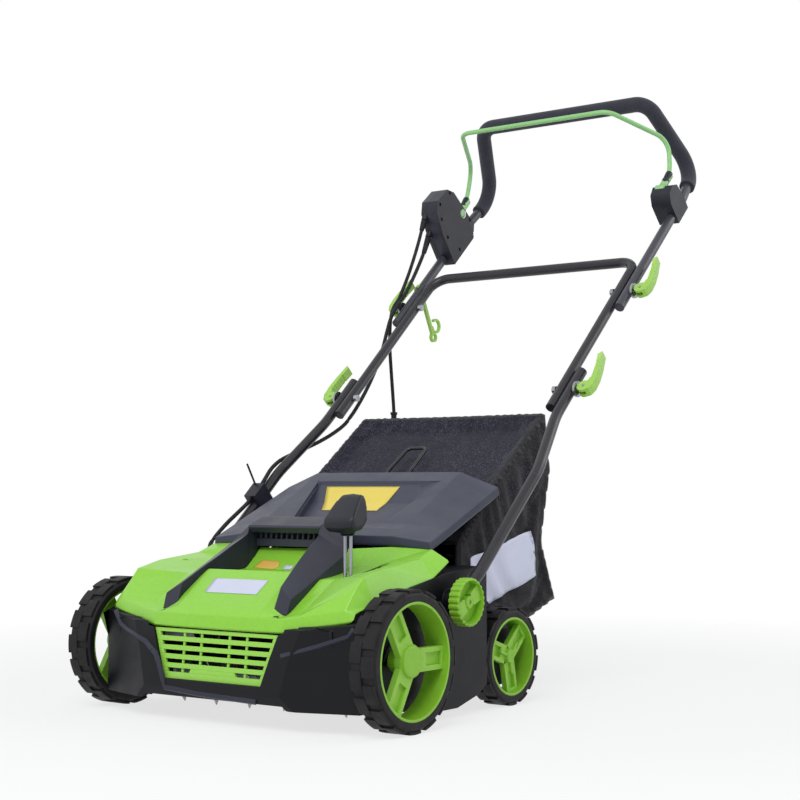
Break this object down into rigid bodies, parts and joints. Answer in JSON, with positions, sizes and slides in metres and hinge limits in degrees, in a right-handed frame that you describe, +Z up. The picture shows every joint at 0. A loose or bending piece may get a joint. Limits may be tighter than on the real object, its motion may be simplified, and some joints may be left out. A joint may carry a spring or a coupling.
{
  "type": "lawn dethatcher",
  "caption": "Electric lawn dethatcher: belt-driven blade drum under a two-axle deck, rear flap, fabric collecting bag, three-section folding handle with bail switch and plug lead.",
  "frame": {"origin": "on the ground, under the middle of the machine's length and width", "axes": "+X across the machine, to the right seen from the front; +Y to the rear, where the operator walks; +Z up"},
  "size_m": [0.6076, 1.1335, 1.1154],
  "materials": {
    "black_plastic": "fine texture",
    "grey_plastic": "satin",
    "green_plastic": "satin gloss",
    "lever_plastic": "satin gloss",
    "tyre": "matt",
    "tube_paint": "gloss powder coat",
    "bail_paint": "gloss powder coat",
    "steel": "brushed",
    "rubber": "matt",
    "foam": "soft foam",
    "bag_cloth": "woven mesh",
    "wire_coat": "black coat",
    "motor_iron": "machined"
  },
  "bodies": {
    "chassis": {"deck_housing": "black_plastic", "motor_cover": "green_plastic", "front_grille": "green_plastic", "carry_frame": "grey_plastic", "motor_housing": "black_plastic", "drive_belt": "rubber", "drum_bearings": "steel", "rear_axle": "steel", "cover_screws": "steel", "flap_hinge_rod": "steel", "knob_bolts": "steel", "motor_cable_deck": "rubber"},
    "height_axle": {"front_axle": "steel", "height_lever": "steel", "height_knob": "black_plastic"},
    "front_wheel_right": {"front_tyre_right": "tyre", "front_rim_right": "green_plastic"},
    "front_wheel_left": {"front_tyre_left": "tyre", "front_rim_left": "green_plastic"},
    "rear_wheel_right": {"rear_tyre_right": "tyre", "rear_rim_right": "green_plastic"},
    "rear_wheel_left": {"rear_tyre_left": "tyre", "rear_rim_left": "green_plastic"},
    "drum": {"drum_shaft": "steel", "drum_blades": "steel", "drum_pulley": "black_plastic"},
    "rotor": {"rotor_shaft": "motor_iron", "cooling_fan": "black_plastic", "motor_pulley": "steel"},
    "flap": {"rear_flap": "grey_plastic", "flap_spring": "steel"},
    "bag": {"grass_bag": "bag_cloth", "bag_frame": "wire_coat"},
    "lower_handle": {"lower_tubes": "tube_paint", "lower_fold_bolts": "steel", "cable_clip": "black_plastic", "motor_cable_lower": "rubber"},
    "middle_handle": {"middle_tube": "tube_paint", "motor_cable_middle": "rubber", "plug_lead": "rubber", "plug": "black_plastic"},
    "upper_handle": {"upper_tube": "tube_paint", "upper_fold_bolts": "steel", "foam_grip": "foam", "switch_box_inner": "black_plastic", "switch_box_outer": "black_plastic", "switch_screws": "steel", "pivot_block": "black_plastic", "strain_reliefs": "rubber", "motor_cable_upper": "rubber", "plug_lead_upper": "rubber"},
    "lever_lower_right": {"cam_lever_lower_right": "lever_plastic"},
    "lever_lower_left": {"cam_lever_lower_left": "lever_plastic"},
    "lever_upper_right": {"cam_lever_upper_right": "lever_plastic"},
    "lever_upper_left": {"cam_lever_upper_left": "lever_plastic"},
    "knob_right": {"handle_knob_right": "green_plastic"},
    "knob_left": {"handle_knob_left": "green_plastic"},
    "bail": {"bail_lever": "bail_paint"},
    "button": {"safety_button": "lever_plastic"},
    "hook": {"cord_hook": "lever_plastic"}
  },
  "joints": [
    {"name": "height_pivot", "type": "hinge", "parent": "chassis", "child": "height_axle", "pos_m": [0, -0.4443, 0.128], "axis": [1, 0, 0], "range_deg": [-30, 0]},
    {"name": "front_wheel_right_spin", "type": "hinge", "parent": "height_axle", "child": "front_wheel_right", "pos_m": [0.282, -0.4643, 0.1025], "axis": [1, 0, 0], "continuous": true},
    {"name": "front_wheel_left_spin", "type": "hinge", "parent": "height_axle", "child": "front_wheel_left", "pos_m": [-0.282, -0.4643, 0.1025], "axis": [1, 0, 0], "continuous": true},
    {"name": "rear_wheel_right_spin", "type": "hinge", "parent": "chassis", "child": "rear_wheel_right", "pos_m": [0.2295, -0.1209, 0.0785], "axis": [1, 0, 0], "continuous": true},
    {"name": "rear_wheel_left_spin", "type": "hinge", "parent": "chassis", "child": "rear_wheel_left", "pos_m": [-0.2295, -0.1209, 0.0785], "axis": [1, 0, 0], "continuous": true},
    {"name": "drum_spin", "type": "hinge", "parent": "chassis", "child": "drum", "pos_m": [0, -0.4193, 0.057], "axis": [1, 0, 0], "continuous": true},
    {"name": "rotor_spin", "type": "hinge", "parent": "chassis", "child": "rotor", "pos_m": [-0.144, -0.4913, 0.146], "axis": [1, 0, 0], "continuous": true},
    {"name": "flap_hinge", "type": "hinge", "parent": "chassis", "child": "flap", "pos_m": [0, -0.2953, 0.277], "axis": [1, 0, 0], "range_deg": [0, 45], "stiffness_Nm_per_rad": 0.6, "springref_deg": -20.05},
    {"name": "bag_slide", "type": "slide", "parent": "chassis", "child": "bag", "axis": [0, 1, 0], "range_m": [0, 0.12]},
    {"name": "lower_fold", "type": "hinge", "parent": "chassis", "child": "lower_handle", "pos_m": [0, -0.3063, 0.177], "axis": [1, 0, 0], "range_deg": [0, 35], "deforming": ["motor_cable_deck"]},
    {"name": "middle_fold", "type": "hinge", "parent": "lower_handle", "child": "middle_handle", "pos_m": [0, 0.06795, 0.51754], "axis": [1, 0, 0], "range_deg": [0, 130]},
    {"name": "upper_fold", "type": "hinge", "parent": "middle_handle", "child": "upper_handle", "pos_m": [0, 0.27653, 0.70733], "axis": [1, 0, 0], "range_deg": [-105, 0], "deforming": ["motor_cable_middle"]},
    {"name": "lever_lower_right_turn", "type": "hinge", "parent": "lower_handle", "child": "lever_lower_right", "pos_m": [0.276, 0.06795, 0.51754], "axis": [0, 0.723, -0.6909], "range_deg": [0, 100]},
    {"name": "lever_lower_left_turn", "type": "hinge", "parent": "lower_handle", "child": "lever_lower_left", "pos_m": [-0.276, 0.06795, 0.51754], "axis": [0, -0.723, 0.6909], "range_deg": [0, 100]},
    {"name": "lever_upper_right_turn", "type": "hinge", "parent": "upper_handle", "child": "lever_upper_right", "pos_m": [0.276, 0.27653, 0.70733], "axis": [0, 0.723, -0.6909], "range_deg": [0, 100]},
    {"name": "lever_upper_left_turn", "type": "hinge", "parent": "upper_handle", "child": "lever_upper_left", "pos_m": [-0.276, 0.27653, 0.70733], "axis": [0, -0.723, 0.6909], "range_deg": [0, 100]},
    {"name": "knob_right_turn", "type": "hinge", "parent": "chassis", "child": "knob_right", "pos_m": [0.284, -0.3063, 0.177], "axis": [1, 0, 0], "continuous": true},
    {"name": "knob_left_turn", "type": "hinge", "parent": "chassis", "child": "knob_left", "pos_m": [-0.284, -0.3063, 0.177], "axis": [1, 0, 0], "continuous": true},
    {"name": "bail_turn", "type": "hinge", "parent": "upper_handle", "child": "bail", "pos_m": [0, 0.44023, 0.92118], "axis": [1, 0, 0], "range_deg": [-33, 0], "stiffness_Nm_per_rad": 1.2, "springref_deg": 17.19},
    {"name": "button_press", "type": "slide", "parent": "upper_handle", "child": "button", "axis": [1, 0, 0], "range_m": [0, 0.004], "stiffness_N_per_m": 900, "springref_m": -0.001},
    {"name": "hook_swing", "type": "hinge", "parent": "upper_handle", "child": "hook", "pos_m": [-0.2495, 0.32239, 0.74906], "axis": [0, 0.7396, 0.673], "range_deg": [0, 40]}
  ],
  "couplings": [
    {"joint": "rotor_spin", "follows": "drum_spin", "ratio": 2.4}
  ]
}
